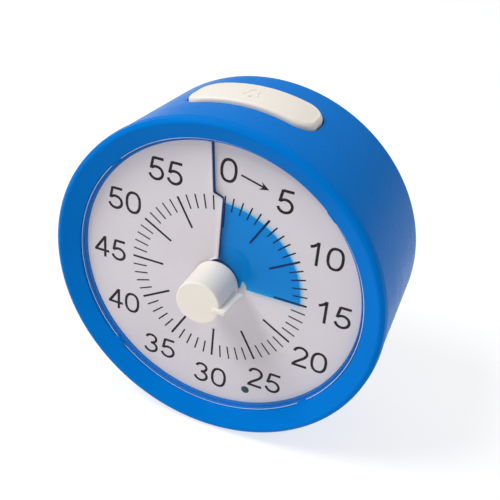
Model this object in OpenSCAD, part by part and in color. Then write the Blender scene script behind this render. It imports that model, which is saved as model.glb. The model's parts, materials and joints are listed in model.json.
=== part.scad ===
/* [Case] */
// Outside diameter of the front bezel
bezel_d = 90; // [90:0.5:94]
// Depth of the case from the dial to its back
case_depth = 33.9; // [33.9:0.1:36]
// Height of the bezel's crown in front of the dial
crown_h = 5; // [4.6:0.1:5.6]
// Outside diameter of the case at its back
back_d = 86.6; // [86:0.2:88]
// Wall of the moulded case parts
wall = 1.8; // [1.6:0.1:2]
// Depth of the soles of the feet below the bezel
foot_drop = 0.5; // [0.3:0.1:1.5]

/* [Dial] */
// Radius of the dial that shows inside the bezel
dial_r = 37.9; // [37.5:0.1:37.9]
// Radius of the coloured disc
disc_r = 22.6; // [21:0.1:23]
// Rise of the dial sheet over one turn, from the slit back to the slit
dial_rise = 0.9; // [0.8:0.05:1.2]
// Thickness of the dial sheet and of the coloured disc
sheet_t = 0.025; // [0.02:0.005:0.03]
// Minutes set at rest
set_minutes = 15; // [0:1:55]

/* [Knob] */
// Diameter of the knob at its base
knob_d = 12.1; // [11.6:0.1:12.3]
// Height of the knob's face above the dial
knob_h = 11.8; // [11:0.1:13]
// Width of the pointer ridge
pointer_w = 1.4; // [1.2:0.1:2.2]
// Reach of the pointer ridge from the axis, at the knob's face
pointer_reach = 7.6; // [7:0.1:8.2]
// Reach of the pointer ridge from the axis, at its foot
pointer_foot = 8.1; // [7.6:0.1:8.6]
// Degrees by which the pointer is pressed on past the disc's leading edge
pointer_lead = 3; // [0:0.5:5]

/* [Press bar] */
// Length of the press bar across the case
bar_w = 33.2; // [32:0.1:36]
// Width of the press bar along the case
bar_l = 13.8; // [13:0.1:16]
// Corner radius of the press bar
bar_corner = 5; // [3:0.1:5.5]
// Height of the press bar above the case
bar_proud = 1.15; // [1:0.05:1.5]
// Travel of the press bar
bar_travel = 1.2; // [0.8:0.1:1.2]

/* [Movement] */
// Module of the second and centre wheels
coarse_module = 0.35; // [0.35]
// Module of the first wheel
fine_module = 0.3; // [0.3]
// Radius of the knob's arbor
arbor_r = 1.5; // [1.5:0.1:1.6]
// Radial clearance of running fits
running_gap = 0.04; // [0.02:0.01:0.06]

/* [Battery] */
// Diameter of the AA cell
cell_d = 14.2; // [14:0.1:14.5]
// Length of the AA cell with its button
cell_l = 50.2; // [49.5:0.1:50.5]

/* [Hidden] */
$fn = 72;

blue = [0.0, 0.42, 0.82];
cream = [0.93, 0.92, 0.88];
paper_white = [0.83, 0.81, 0.83];
steel = [0.72, 0.73, 0.75];
brass = [0.78, 0.62, 0.3];
grey_plastic = [0.55, 0.56, 0.58];

// A small gap between pieces that are put together by hand
gap = 0.3;
// A closer gap between pieces that are clipped together
snug = 0.05;

// The whole object's frame: the axis of the case, and the dial's place along it
axis_z = bezel_d / 2 + foot_drop;
pointer_rise = 0.5;
pointer_top = knob_h + pointer_rise;
dial_y = (pointer_top - case_depth) / 2;

// Case profile, as radius and depth behind the dial
seam_depth = -1.7;
seam_r = bezel_d / 2 - 0.2;
seam_bevel = 0.25;
back_r = back_d / 2;
back_fillet = 1.2;
cover_t = 2;
cover_depth = case_depth - cover_t;
cover_r = back_r - wall;
ledge_t = 1.6;
ledge_r = cover_r - 1.6;
function shell_r(depth) =
    seam_r - (seam_r - back_r) * (depth - seam_depth) / (case_depth - seam_depth);
function arc(cx, cy, r, from, to, steps) = [
    for (i = [0:steps]) let (a = from + (to - from) * i / steps) [cx + r * cos(a), cy + r * sin(a)]
];

// Bezel: its crown's edge, the cone and lip inside it, and the skirt that goes into the shell
crown_fillet = 2;
rim_depth = -0.65;
cone_depth = -1.75;
lip_r = 39.15;
lip_depth = -2.3;
skirt_gap = 0.25;
skirt_t = 1.1;
skirt_depth = 1.6;

// Lens, and the tabs of the bezel that hold it
lens_front = -1.95;
lens_back = -1.1;
lens_r = 39.05;
lens_hole_r = knob_d / 2 + 0.45;
lens_bevel = 0.7;
lens_tab_angles = [45, 136, 223.5, 313];
lens_tab_w = 4;
lens_tab_t = 0.6;

// Carrier behind the dial sheet
carrier_depth = 0.9;
carrier_t = 1.2;
carrier_rim = 1.3;
carrier_rim_h = 1.45;
carrier_tab_angles = [60, 180, 300];

// Indicator lamp: its place on the clock face and its radius
lamp_clock = 162;
lamp_ring_r = 33.8;
lamp_r = 1.14;

// Two sheets of one pitch and opposite hands, so that one threads through the other's slit
max_minutes = 55;
set_angle = set_minutes * 6;
sheet_gap = dial_rise * (1 - max_minutes / 60) / 2;
sheet_steps = 72;
hub_r = 5;
hub_l = 4;
hub_front = -0.8;
knob_foot = 0.05;
knob_taper = 0.2;
knob_fillet = 0.5;
socket_depth = 9;
pointer_start = 0.65;
// Rings of the dial sheet: radius, then where the slit crosses it
slit_rings = [
    [hub_r + 0.5, -16], [6.2, -16], [6.9, 0], [14, 0], [23.6, 0],
    [24, -1.2], [24.5, -4.3], [24.9, -5.5], [31, -5.5], [dial_r + 0.1, -5.5]
];
// Rings of the coloured disc: radius, then how far its notch goes in from the leading edge
disc_rings = [
    [hub_r, 0], [6.3, 0], [6.9, 12], [7.4, 17], [7.8, 13],
    [8.3, 0], [14, 0], [disc_r, 0]
];
disc_tail = 355;

// Wheel train: teeth and places of the axes, x to the right and y down, from the knob's axis
centre_teeth = 48;
second_pinion_teeth = 12;
second_teeth = 50;
first_pinion_teeth = 10;
first_teeth = 60;
rotor_pinion_teeth = 10;
function turn_to(clock, r) = [r * sin(clock), -r * cos(clock)];
second_clock = 120;
first_clock = 200;
rotor_clock = 285;
second_at = turn_to(second_clock, coarse_module * (centre_teeth + second_pinion_teeth) / 2);
first_at = second_at
    + turn_to(first_clock, coarse_module * (second_teeth + first_pinion_teeth) / 2);
rotor_at = first_at + turn_to(rotor_clock, fine_module * (first_teeth + rotor_pinion_teeth) / 2);

// Layers of the movement, as depths behind the dial
case_front = 4;
case_back = 14;
plate_t = 1.2;
layer_a = 6;
layer_b = 8.2;
layer_c = 10.2;
wheel_t = 0.8;
pinion_t = 1.4;
pivot_r = 0.5;
pivot_in = 0.7;
movement_left = -22;
movement_right = 21;
movement_top = -12;
movement_bottom = 27;
movement_screw_at = [[-19.5, -9.5], [18.5, -9.5], [-19.5, 24.5], [18.5, 24.5]];
stator_depth = 7.5;
stator_t = 0.6;
stator_left = movement_left + 2.6;
stator_arm_w = 2.2;
stator_plate_h = 7.8;
core_h = 2.4;
core_t = 1;
coil_y = 2;
coil_l = 7;
coil_r = 2.7;
coil_flange_r = 3.1;
coil_flange_t = 0.6;
magnet_r = 2.4;
magnet_l = 1.9;

// Battery bay
bay_y = 14;
bay_w = 56;
bay_h = cell_d + 1.2;
bay_wall = 1.2;
bay_floor = 16.2;
cell_depth = bay_floor + 0.15 + cell_d / 2;
door_w = bay_w + 1.4;
door_h = bay_h + 2.6;
door_t = 1.7;
door_corner = 2;
door_tab = [8.8, 6.6];
door_ribs = 5;
door_rib_gap = 1.1;
door_rib_depth = 0.7;
cell_nub_r = 2.7;

// Circuit board and what stands on it
board_depth = 20;
board_t = 1.2;
board_w = 40;
board_top = -31;
board_bottom = -5.5;
board_post_at = [[-17, -27], [17, -27]];
switch_top = -34;
switch_w = 6;
switch_t = 4.5;
slider_at = [-13, -9.6];
slider_head = 3.4;
slider_slot = [8.2, 4.2];
buzzer_at = [0, -18];
buzzer_r = 8.4;
buzzer_t = 5;
sound_slots = 5;
sound_slot_w = 1.1;
sound_slot_gap = 2.4;

// Press bar
bar_front = 8.9;
bar_mid = bar_front + bar_l / 2;
spring_seat = 37.6;
spring_seat_t = 1.3;
spring_top = 40.2;
spring_x = 9;
spring_r = 1.7;
spring_wire = 0.3;
spring_turns = 3;
stem_w = 6;
stem_t = 3.2;
stem_depth = board_depth - 4.6;
stem_top = 44;
shelf_w = 60;
shelf_window = 8.6;

// Feet and magnets
foot_x = 14;
foot_w = 9;
foot_front = 6;
foot_l = 24;
foot_corner = 4;
foot_h = 6;
magnet_disc_r = 5;
magnet_disc_t = 2.6;
magnet_at = [[-27, -17], [27, -17]];
magnet_cup = 1;

// Screws: radius of the shank and of the head, and height of the head
case_screw = [1.1, 2.2, 0.9];
case_screw_l = 8;
screw_boss_r = 2.6;
screw_boss_l = 9;
screw_ring_r = 38;
screw_clocks = [35, 145, 215, 325];
movement_screw = [0.8, 1.5, 0.6];
board_screw = [0.85, 1.6, 0.7];
board_screw_l = 6;
post_r = 2.4;
// Room round a screw's shank, and round its head
shank_gap = 0.15;

// ---- helpers ----

// Puts a shape drawn with x right, y down and z into the case at a depth behind the dial
module seat(depth = 0) {
    translate([0, dial_y + depth, axis_z]) rotate([-90, 0, 0]) children();
}

// Turns a shape drawn along +x to a place on the clock face
module clock(minutes_angle, r = 0) {
    rotate([0, 0, minutes_angle - 90]) translate([r, 0, 0]) children();
}

module rounded_rect(w, h, r) {
    square([w - 2 * r, h], center = true);
    square([w, h - 2 * r], center = true);
    for (sx = [-1, 1]) {
        for (sy = [-1, 1]) {
            translate([sx * (w / 2 - r), sy * (h / 2 - r)]) circle(r);
        }
    }
}

// A tapered case wall between two depths, this far out from the case's surface
module case_ring(from, to, inner, outer) {
    rotate_extrude()
        polygon([
            [shell_r(from) + inner, from], [shell_r(from) + outer, from],
            [shell_r(to) + outer, to], [shell_r(to) + inner, to]
        ]);
}

// The solid inside the case wall between two depths, this far in from the case's surface
module case_core(from, to, inset) {
    rotate_extrude()
        polygon([[0, from], [shell_r(from) - inset, from], [shell_r(to) - inset, to], [0, to]]);
}

// A sheet that winds round the axis; each ring has a radius, a start angle and an end angle
module wound_sheet(rings, height, slope) {
    n = sheet_steps;
    last = len(rings) - 1;
    side = len(rings) * (n + 1);
    points = [
        for (face = [-0.5, 0.5])
            for (ring = rings)
                for (j = [0:n])
                    let (a = ring[1] + (ring[2] - ring[1]) * j / n)
                    [ring[0] * sin(a), -ring[0] * cos(a), height + slope * a + face * sheet_t]
    ];
    function at(i, j, back) = back * side + i * (n + 1) + j;
    function quad(a, b, c, d) = [[a, b, c], [a, c, d]];
    faces = concat(
        [for (i = [0:last - 1]) for (j = [0:n - 1]) for (f = quad(
            at(i, j, 0), at(i + 1, j, 0), at(i + 1, j + 1, 0), at(i, j + 1, 0))) f],
        [for (i = [0:last - 1]) for (j = [0:n - 1]) for (f = quad(
            at(i, j, 1), at(i, j + 1, 1), at(i + 1, j + 1, 1), at(i + 1, j, 1))) f],
        [for (j = [0:n - 1]) for (f = quad(
            at(0, j, 0), at(0, j + 1, 0), at(0, j + 1, 1), at(0, j, 1))) f],
        [for (j = [0:n - 1]) for (f = quad(
            at(last, j + 1, 0), at(last, j, 0), at(last, j, 1), at(last, j + 1, 1))) f],
        [for (i = [0:last - 1]) for (f = quad(
            at(i + 1, 0, 0), at(i, 0, 0), at(i, 0, 1), at(i + 1, 0, 1))) f],
        [for (i = [0:last - 1]) for (f = quad(
            at(i, n, 0), at(i + 1, n, 0), at(i + 1, n, 1), at(i, n, 1))) f]
    );
    polyhedron(points, faces);
}

// Straight-sided teeth with backlash; the first tooth points along the given clock angle
module teeth_disc(teeth, size, thickness, clock_angle, addendum) {
    r = teeth * size / 2;
    pitch = 360 / teeth;
    tip_r = r + addendum * size;
    root_r = r - 1.15 * size;
    flank = [
        [root_r, -0.25], [r, -0.17], [tip_r, -0.07], [tip_r, 0.07], [r, 0.17], [root_r, 0.25]
    ];
    clock(clock_angle)
        linear_extrude(thickness)
            polygon([
                for (i = [0:teeth - 1])
                    for (p = flank)
                        let (a = pitch * (i + p[1])) [p[0] * cos(a), p[0] * sin(a)]
            ]);
}

module move_to(at, depth = 0) {
    translate([at[0], at[1], depth]) children();
}

// A screw along z with a crossed drive; its size is the shank radius, head radius and head height
module screw(size, length) {
    slot_l = size[1] * 1.3;
    slot_w = size[1] * 0.3;
    cylinder(h = length, r = size[0]);
    difference() {
        translate([0, 0, length]) cylinder(h = size[2], r = size[1]);
        translate([0, 0, length + size[2] * 0.4]) {
            linear_extrude(size[2]) {
                square([slot_l, slot_w], center = true);
                square([slot_w, slot_l], center = true);
            }
        }
    }
}

// ---- case ----

module front_bezel() {
    crown_r = bezel_d / 2 - crown_fillet;
    crown_depth = crown_fillet - crown_h;
    edge_r = bezel_d / 2;
    skirt_r = seam_r - wall - skirt_gap;
    inner_wall = [[dial_r, rim_depth], [lens_r - snug, cone_depth], [lip_r, cone_depth]];
    funnel = concat([[lip_r, lip_depth], [lip_r + 0.25, lip_depth - 0.2]],
        arc(crown_r - 0.2, crown_depth, crown_fillet, -110, -90, 3));
    crown = arc(crown_r, crown_depth, crown_fillet, -85, 0, 12);
    skirt = [
        [edge_r, seam_depth - seam_bevel], [edge_r - seam_bevel, seam_depth], [skirt_r, seam_depth],
        [skirt_r, skirt_depth], [skirt_r - skirt_t, skirt_depth],
        [skirt_r - skirt_t, seam_depth - 0.5], [lip_r + 0.6, rim_depth]
    ];
    color(blue) seat() {
        rotate_extrude() polygon(concat(inner_wall, funnel, crown, skirt));
        for (a = lens_tab_angles) {
            clock(a, lip_r - 0.35)
                translate([0, -lens_tab_w / 2, lip_depth + snug])
                    cube([lens_tab_t, lens_tab_w, lens_front - lip_depth - 1.5 * snug]);
        }
    }
}

module body_shell() {
    inner_front = shell_r(seam_depth) - wall;
    boss_front = cover_depth - screw_boss_l;
    rib_l = 4.6;
    rib_t = 2;
    pilot_l = 12;
    profile = concat(
        [
            [inner_front, seam_depth], [seam_r - seam_bevel, seam_depth],
            [seam_r, seam_depth + seam_bevel]
        ],
        arc(back_r - back_fillet, case_depth - back_fillet, back_fillet, 0, 90, 6),
        [
            [cover_r + snug, case_depth], [cover_r + snug, cover_depth], [ledge_r, cover_depth],
            [ledge_r, cover_depth - ledge_t],
            [shell_r(cover_depth) - wall, cover_depth - ledge_t - 2]
        ]
    );
    color(blue) difference() {
        union() {
            seat() rotate_extrude() polygon(profile);
            spring_shelf();
            seat() for (a = screw_clocks) {
                clock(a, screw_ring_r) translate([0, 0, boss_front]) {
                    cylinder(h = screw_boss_l, r = screw_boss_r);
                    translate([0, -rib_t / 2, 0]) cube([rib_l, rib_t, screw_boss_l - 1]);
                }
            }
        }
        bar_opening();
        seat(boss_front + 1)
            for (a = screw_clocks)
                clock(a, screw_ring_r) cylinder(h = pilot_l, r = case_screw[0]);
    }
}

// A chord plate across the top of the case, under the press bar
module spring_shelf() {
    intersection() {
        translate([0, dial_y + bar_mid, axis_z + spring_seat - spring_seat_t])
            linear_extrude(spring_seat_t) difference() {
                square([shelf_w, bar_l + 2], center = true);
                translate([0, stem_depth + stem_t / 2 - bar_mid])
                    square(shelf_window, center = true);
            }
        seat() case_core(bar_front - 2, bar_front + bar_l + 2, wall / 2);
    }
}

module bar_outline(shrink) {
    translate([0, dial_y + bar_mid])
        rounded_rect(bar_w - 2 * shrink, bar_l - 2 * shrink, bar_corner - shrink);
}

module bar_opening() {
    translate([0, 0, axis_z + spring_seat + gap])
        linear_extrude(20) bar_outline(-gap);
}

module feet() {
    color([0.16, 0.17, 0.19]) difference() {
        for (s = [-1, 1]) {
            translate([s * foot_x, dial_y + foot_front + foot_l / 2, 0])
                linear_extrude(foot_h) rounded_rect(foot_w, foot_l, foot_corner);
        }
        seat() case_core(0, case_depth, -0.03);
    }
}

module rear_cover() {
    pocket_depth = case_depth - door_t - 0.1;
    through = 5;
    post_depth = board_depth + board_t + snug;
    color(blue) difference() {
        union() {
            seat(cover_depth) cylinder(h = cover_t, r = cover_r);
            seat(bay_floor - bay_wall) move_to([0, bay_y])
                linear_extrude(cover_depth - bay_floor + bay_wall)
                    square([bay_w + 2 * bay_wall, bay_h + 2 * bay_wall], center = true);
            seat(post_depth)
                for (at = board_post_at) move_to(at) cylinder(h = cover_depth - post_depth, r = post_r);
        }
        seat(bay_floor) move_to([0, bay_y])
            linear_extrude(case_depth) square([bay_w, bay_h], center = true);
        seat(pocket_depth) {
            move_to([0, bay_y])
                linear_extrude(through) rounded_rect(door_w + 2 * gap, door_h + 2 * gap, door_corner);
            move_to([0, bay_y - door_h / 2])
                linear_extrude(through)
                    square([door_tab[0] + 2 * gap, door_tab[1] + 4 * gap + 0.2], center = true);
        }
        seat(board_depth) for (at = board_post_at) move_to(at) cylinder(h = 7, r = board_screw[0]);
        for (a = screw_clocks) {
            seat(cover_depth - 1)
                clock(a, screw_ring_r) cylinder(h = through, r = case_screw[0] + shank_gap);
            seat(case_depth - 1) clock(a, screw_ring_r) cylinder(h = through, r = case_screw[1] + gap);
        }
        seat(case_depth - magnet_disc_t)
            for (at = magnet_at) move_to(at) cylinder(h = through, r = magnet_disc_r);
        seat(cover_depth - 1) {
            for (i = [0:sound_slots - 1])
                let (row = i - (sound_slots - 1) / 2)
                    move_to([buzzer_at[0], buzzer_at[1] + sound_slot_gap * row])
                        linear_extrude(through)
                            rounded_rect(11 - abs(row) * 1.6, sound_slot_w, sound_slot_w / 2 - snug);
            move_to(slider_at) linear_extrude(through) rounded_rect(slider_slot[0], slider_slot[1], 0.6);
        }
    }
    color(blue) magnet_cups();
}

// Cups on the inside of the cover, as deep as the magnets reach past its inner face
module magnet_cups() {
    cup_l = 1.6;
    seat(cover_depth - cup_l)
        for (at = magnet_at)
            move_to(at) difference() {
                cylinder(h = cup_l, r = magnet_disc_r + magnet_cup);
                translate([0, 0, cover_t - magnet_disc_t + cup_l]) cylinder(h = 3, r = magnet_disc_r);
            }
}

module battery_door() {
    color(blue) difference() {
        seat(case_depth - door_t) move_to([0, bay_y]) {
            linear_extrude(door_t) rounded_rect(door_w, door_h, door_corner);
            translate([0, -door_h / 2]) linear_extrude(door_t) square(door_tab, center = true);
        }
        seat(case_depth - door_rib_depth)
            for (i = [0:door_ribs - 1])
                move_to([0, bay_y - door_h / 2 + (i - (door_ribs - 1) / 2) * door_rib_gap])
                    linear_extrude(2) square([6, 0.5], center = true);
    }
}

module magnets() {
    color(steel) seat(case_depth - magnet_disc_t)
        for (at = magnet_at) move_to(at) cylinder(h = magnet_disc_t, r = magnet_disc_r);
}

module case_screws() {
    color(steel) seat(case_depth - 1 - case_screw_l)
        for (a = screw_clocks) clock(a, screw_ring_r) screw(case_screw, case_screw_l);
}

module lens() {
    edge_r = lens_r - 0.1;
    color([0.9, 0.95, 1, 0.35]) seat()
        rotate_extrude() polygon([
            [lens_hole_r, lens_back], [edge_r - lens_bevel, lens_back],
            [edge_r, lens_back - lens_bevel + 0.02], [edge_r, lens_front], [lens_hole_r, lens_front]
        ]);
}

// ---- dial, disc and knob ----

module dial_sheet() {
    color(paper_white) seat()
        wound_sheet(
            [for (ring = slit_rings) [ring[0], ring[1], ring[1] + 360]],
            dial_rise / 2, -dial_rise / 360
        );
}

module dial_carrier() {
    rim_r = dial_r + carrier_rim;
    tab_w = 6;
    pilot_front = 0.4;
    color(cream) seat(carrier_depth) difference() {
        union() {
            cylinder(h = carrier_t, r = rim_r + 0.3);
            translate([0, 0, -carrier_rim_h]) cylinder(h = carrier_rim_h + snug, r = rim_r);
            for (at = movement_screw_at) move_to(at) cylinder(h = case_front - carrier_depth, r = post_r);
            for (a = carrier_tab_angles) {
                clock(a, rim_r - 0.3) translate([0, -tab_w / 2, 0]) cube([2.2, tab_w, carrier_t]);
            }
        }
        translate([0, 0, -2]) cylinder(h = 2, r = dial_r + 0.2);
        translate([0, 0, -1]) cylinder(h = 5, r = hub_r + 0.6);
        for (at = movement_screw_at) move_to(at, pilot_front) cylinder(h = 5, r = movement_screw[0]);
        clock(lamp_clock, lamp_ring_r) cylinder(h = 9, r = 1.6, center = true);
    }
}

module indicator_led() {
    lens_l = 3;
    flange_r = 2.2;
    lead_r = 0.25;
    lead_l = 4;
    color([0.15, 0.3, 0.33]) seat(0.3) clock(lamp_clock, lamp_ring_r) {
        cylinder(h = lens_l, r = lamp_r);
        translate([0, 0, lens_l - 1]) cylinder(h = 1.4, r = flange_r);
        for (s = [-1, 1]) translate([0, s * 0.9, lens_l]) cylinder(h = lead_l, r = lead_r);
    }
}

module colour_disc() {
    lead = set_angle;
    color([0, 0.5, 0.9, 0.8]) seat()
        wound_sheet(
            [for (ring = disc_rings) [ring[0], lead - disc_tail, lead - ring[1]]],
            sheet_gap - dial_rise / 2 + dial_rise * lead / 360, -dial_rise / 360
        );
}

module disc_hub() {
    flange_t = 1;
    color(cream) seat(hub_front) difference() {
        union() {
            cylinder(h = hub_l, r = hub_r);
            translate([0, 0, hub_l - flange_t]) cylinder(h = flange_t, r = hub_r + 1.4);
        }
        translate([0, 0, -1]) cylinder(h = hub_l + 5, r = arbor_r);
    }
}

module knob() {
    r = knob_d / 2;
    foot = hub_front - knob_foot;
    ridge_foot = lens_front - 0.15;
    ridge_root = r - 1;
    color(cream) seat() {
        difference() {
            rotate_extrude() polygon(concat(
                [[0, foot], [r, foot]],
                arc(r - knob_taper - knob_fillet, -knob_h + knob_fillet, knob_fillet, 0, -90, 5),
                [[0, -knob_h]]
            ));
            translate([0, 0, -socket_depth]) cylinder(h = socket_depth, r = arbor_r);
        }
        clock(set_angle + pointer_lead) rotate([90, 0, 0])
            translate([0, 0, -pointer_w / 2])
                linear_extrude(pointer_w)
                    polygon([
                        [ridge_root, ridge_foot], [pointer_foot, ridge_foot],
                        [pointer_reach, -knob_h], [pointer_reach - 0.4, -pointer_top],
                        [pointer_start * r, -pointer_top], [pointer_start * r, -knob_h + 0.1],
                        [ridge_root, -knob_h + 0.1]
                    ]);
    }
}

module arbor() {
    top = socket_depth - 0.5;
    collar_r = 2.4;
    wheel_back = layer_a + wheel_t;
    color(steel) seat() {
        translate([0, 0, -top]) cylinder(h = top + wheel_back + 0.2, r = arbor_r);
        translate([0, 0, wheel_back + snug]) cylinder(h = 0.5, r = collar_r);
        translate([0, 0, layer_a])
            cylinder(h = case_back - layer_a - plate_t + pivot_in, r = pivot_r);
    }
}

// A dished washer on the arbor that presses on the centre wheel
module clutch_spring() {
    spring_t = 0.15;
    dish = [2.6, 4.2];
    dish_h = 0.4;
    color(brass) seat(layer_a - dish_h - snug)
        difference() {
            cylinder(h = dish_h, r1 = dish[0], r2 = dish[1]);
            translate([0, 0, -1]) cylinder(h = 3, r = arbor_r);
            translate([0, 0, spring_t]) cylinder(h = dish_h, r1 = dish[0], r2 = dish[1]);
        }
}

// ---- movement ----

module centre_wheel() {
    color(brass) seat(layer_a) difference() {
        teeth_disc(centre_teeth, coarse_module, wheel_t, second_clock, 0.75);
        translate([0, 0, -1]) cylinder(h = 3, r = arbor_r + running_gap);
        for (i = [0:3]) clock(i * 90 + 30, 5.6) translate([0, 0, -1]) cylinder(h = 3, r = 1);
    }
}

module staff(at, r) {
    translate([at[0], at[1], case_front + plate_t - pivot_in])
        cylinder(h = case_back - case_front - 2 * plate_t + 2 * pivot_in, r = r);
}

module second_wheel() {
    color(brass) seat() {
        staff(second_at, pivot_r);
        move_to(second_at, layer_a - 0.3)
            teeth_disc(second_pinion_teeth, coarse_module, pinion_t, second_clock + 180 + 15, 0.75);
        move_to(second_at, layer_b)
            teeth_disc(second_teeth, coarse_module, wheel_t, first_clock, 0.75);
    }
}

module first_wheel() {
    color(cream) seat() {
        staff(first_at, pivot_r);
        move_to(first_at, layer_b - 0.3)
            teeth_disc(first_pinion_teeth, coarse_module, pinion_t, first_clock + 180 + 18, 0.75);
        move_to(first_at, layer_c)
            teeth_disc(first_teeth, fine_module, wheel_t, rotor_clock, 0.75);
    }
}

module rotor_pinion() {
    color(cream) seat() {
        staff(rotor_at, pivot_r);
        move_to(rotor_at, layer_c - 0.3)
            teeth_disc(rotor_pinion_teeth, fine_module, pinion_t, rotor_clock + 180 + 18, 0.75);
    }
}

module rotor_magnet() {
    color([0.25, 0.25, 0.27]) seat() move_to(rotor_at, stator_depth - 0.6)
        difference() {
            cylinder(h = magnet_l, r = magnet_r);
            translate([0, 0, -1]) cylinder(h = magnet_l + 2, r = pivot_r);
        }
}

// A flat frame with a hole round the rotor's magnet, and the core that goes through the coil
module stator() {
    core_top = coil_y - core_h / 2;
    arm_l = rotor_at[1] - coil_y;
    color(steel) seat(stator_depth) difference() {
        union() {
            linear_extrude(stator_t) {
                translate([stator_left, rotor_at[1] - stator_plate_h / 2])
                    square([rotor_at[0] + 4 - stator_left, stator_plate_h]);
                translate([stator_left, core_top]) square([stator_arm_w, arm_l]);
                translate([rotor_at[0] - 3.2, core_top]) square([stator_arm_w, arm_l]);
            }
            translate([stator_left, core_top, stator_t])
                cube([rotor_at[0] - 1 - stator_left, core_h, core_t]);
        }
        move_to(rotor_at, -1) cylinder(h = 4, r = magnet_r + 0.4);
    }
}

module coil() {
    axis_depth = stator_depth + stator_t + core_t / 2;
    color([0.72, 0.35, 0.15]) seat(axis_depth) move_to([stator_left + 2.6, coil_y]) difference() {
        rotate([0, 90, 0]) {
            cylinder(h = coil_l, r = coil_r);
            cylinder(h = coil_flange_t, r = coil_flange_r);
            translate([0, 0, coil_l - coil_flange_t]) cylinder(h = coil_flange_t, r = coil_flange_r);
        }
        translate([-1, -core_h / 2 - snug, -core_t / 2 - snug])
            cube([coil_l + 2, core_h + 2 * snug, core_t + 2 * snug]);
    }
}

module movement_outline(shrink) {
    translate([movement_left + shrink, movement_top + shrink])
        square([
            movement_right - movement_left - 2 * shrink,
            movement_bottom - movement_top - 2 * shrink
        ]);
}

module movement_case() {
    tray_h = case_back - case_front - plate_t;
    screw_post_r = 1.9;
    color(grey_plastic) seat(case_front) difference() {
        union() {
            difference() {
                linear_extrude(tray_h) movement_outline(0);
                translate([0, 0, plate_t]) linear_extrude(tray_h) movement_outline(plate_t);
            }
            for (at = movement_screw_at) move_to(at) cylinder(h = tray_h, r = screw_post_r);
        }
        translate([0, 0, -1]) cylinder(h = 4, r = arbor_r + running_gap);
        for (at = [second_at, first_at, rotor_at])
            move_to(at, plate_t - pivot_in - 0.1) cylinder(h = 2, r = pivot_r + running_gap);
        movement_screw_holes();
    }
}

module movement_plate() {
    color(grey_plastic) seat(case_back - plate_t) difference() {
        linear_extrude(plate_t) movement_outline(0);
        for (at = [[0, 0], second_at, first_at, rotor_at])
            move_to(at, -1) cylinder(h = 1 + pivot_in + 0.1, r = pivot_r + running_gap);
        movement_screw_holes();
    }
}

module movement_screw_holes() {
    for (at = movement_screw_at)
        move_to(at, -1) cylinder(h = case_depth, r = movement_screw[0] + 0.1);
}

module movement_screws() {
    start = carrier_depth + 0.6;
    color(steel) seat(start)
        for (at = movement_screw_at) move_to(at) screw(movement_screw, case_back - start);
}

// ---- electrics ----

module circuit_board() {
    color([0.1, 0.42, 0.24]) seat(board_depth) difference() {
        translate([-board_w / 2, board_top, 0]) cube([board_w, board_bottom - board_top, board_t]);
        for (at = board_post_at) move_to(at, -1) cylinder(h = 4, r = board_screw[0] + 0.1);
    }
}

module board_screws() {
    color(steel) seat(board_depth + board_screw_l)
        for (at = board_post_at)
            move_to(at) mirror([0, 0, 1]) screw(board_screw, board_screw_l);
}

module crystal() {
    can_r = 1;
    color(steel) seat(board_depth) translate([12, -12, -can_r - gap]) rotate([0, 90, 0])
        cylinder(h = 6, r = can_r);
}

// A flat package with five legs across it
module timer_chip() {
    corner = [-4, -15];
    legs = 5;
    leg_pitch = 1.6;
    color([0.12, 0.12, 0.13]) seat(board_depth) {
        translate([corner[0], corner[1], -1.6]) cube([8, 6, 1.4]);
        for (i = [0:legs - 1]) {
            translate([corner[0] + 0.4 + i * leg_pitch, corner[1] - 1, -0.3]) cube([0.5, 8, 0.3]);
        }
    }
}

module buzzer() {
    color([0.14, 0.14, 0.15]) seat(cover_depth - buzzer_t) move_to(buzzer_at) difference() {
        cylinder(h = buzzer_t, r = buzzer_r);
        translate([0, 0, buzzer_t - 1]) cylinder(h = 2, r = 1.2);
    }
}

// A switch under the press bar's stem, with its plunger and its leg on the board
module bar_switch() {
    switch_h = 5;
    color([0.14, 0.14, 0.15]) seat() {
        translate([-switch_w / 2, switch_top, board_depth - switch_t])
            cube([switch_w, switch_h, switch_t]);
        translate([0, switch_top, board_depth - 3]) rotate([90, 0, 0]) cylinder(h = 0.6, r = 1.2);
        translate([-2, switch_top + switch_h, board_depth - 0.4]) cube([4, 1.5, 0.4]);
    }
}

module volume_switch() {
    body = [10, 5.6, 5];
    channel = [7.2, 2.6];
    color(steel) seat(board_depth + board_t) move_to(slider_at) difference() {
        linear_extrude(body[2]) square([body[0], body[1]], center = true);
        translate([0, 0, 2]) linear_extrude(body[2]) square(channel, center = true);
    }
}

module volume_slider() {
    shank = [2.6, 2];
    foot = board_depth + board_t + 2.4;
    color(cream) seat() move_to(slider_at) {
        translate([0, 0, foot]) linear_extrude(case_depth - foot - 0.6) square(shank, center = true);
        translate([0, 0, cover_depth + 0.2])
            linear_extrude(1.6) square(slider_head, center = true);
    }
}

module battery() {
    color([0.2, 0.2, 0.22]) seat(cell_depth) translate([-cell_l / 2, bay_y, 0]) rotate([0, 90, 0]) {
        cylinder(h = cell_l - 1, r = cell_d / 2);
        cylinder(h = cell_l, r = cell_nub_r);
    }
}

module contact_plate() {
    plate = [0.4, 10, 12];
    color(steel) seat(bay_floor + 1)
        translate([cell_l / 2 + 0.1, bay_y - plate[1] / 2, 0]) cube(plate);
}

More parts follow.
